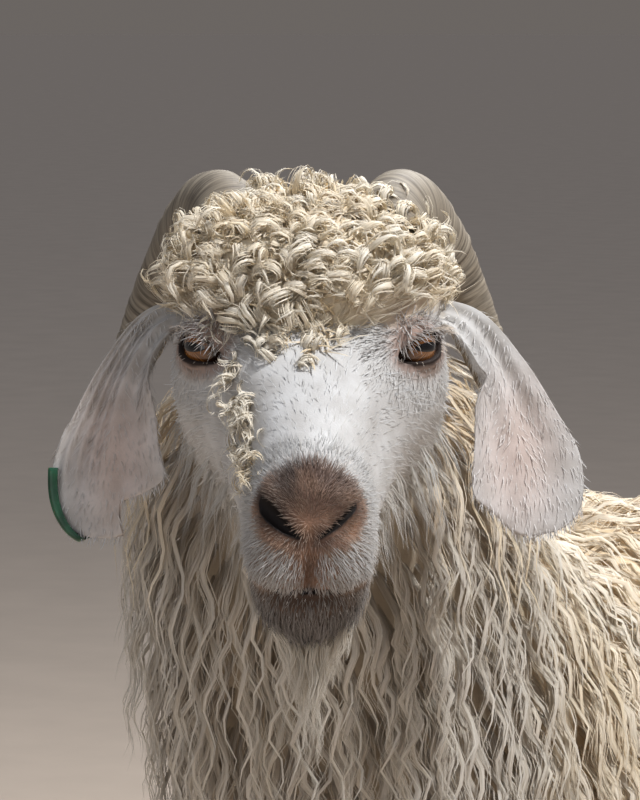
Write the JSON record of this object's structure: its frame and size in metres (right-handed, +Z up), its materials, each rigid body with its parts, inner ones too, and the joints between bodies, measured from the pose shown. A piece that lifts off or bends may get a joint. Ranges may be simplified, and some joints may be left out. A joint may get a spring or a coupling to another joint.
{
  "type": "angora goat",
  "caption": "Life-size still model of a standing adult goat with curled mohair fleece, hanging ears, swept-back horns and its head turned to its left.",
  "frame": {"origin": "on the floor under the middle of the bounding box", "axes": "+Z up, the trunk along Y with the goat facing -Y, its left side towards +X"},
  "size_m": [0.4156, 1.0488, 0.8408],
  "materials": {
    "fleece": "cream mohair in long wavy locks with golden depths",
    "short_coat": "short white hair over pinkish skin",
    "horn": "grey-beige horn with fine growth rings; wood stands for horn",
    "hoof": "dull dark hoof horn",
    "eye": "wet amber-brown eye with a level dark pupil",
    "tag": "plain green flexible plastic"
  },
  "bodies": {
    "root": {"torso": "fleece", "neck": "fleece", "head": "short_coat", "beard": "short_coat", "tail": "fleece", "horn_left": "horn", "horn_right": "horn", "ear_left": "short_coat", "ear_right": "short_coat", "eye_left": "eye", "eye_right": "eye", "ear_tag": "tag", "upper_leg_fore_left": "fleece", "upper_leg_fore_right": "fleece", "upper_leg_hind_left": "fleece", "upper_leg_hind_right": "fleece", "lower_leg_fore_left": "short_coat", "lower_leg_fore_right": "short_coat", "lower_leg_hind_left": "short_coat", "lower_leg_hind_right": "short_coat", "claw_fore_left_outer": "hoof", "claw_fore_left_inner": "hoof", "claw_fore_right_outer": "hoof", "claw_fore_right_inner": "hoof", "claw_hind_left_outer": "hoof", "claw_hind_left_inner": "hoof", "claw_hind_right_outer": "hoof", "claw_hind_right_inner": "hoof"}
  },
  "joints": []
}
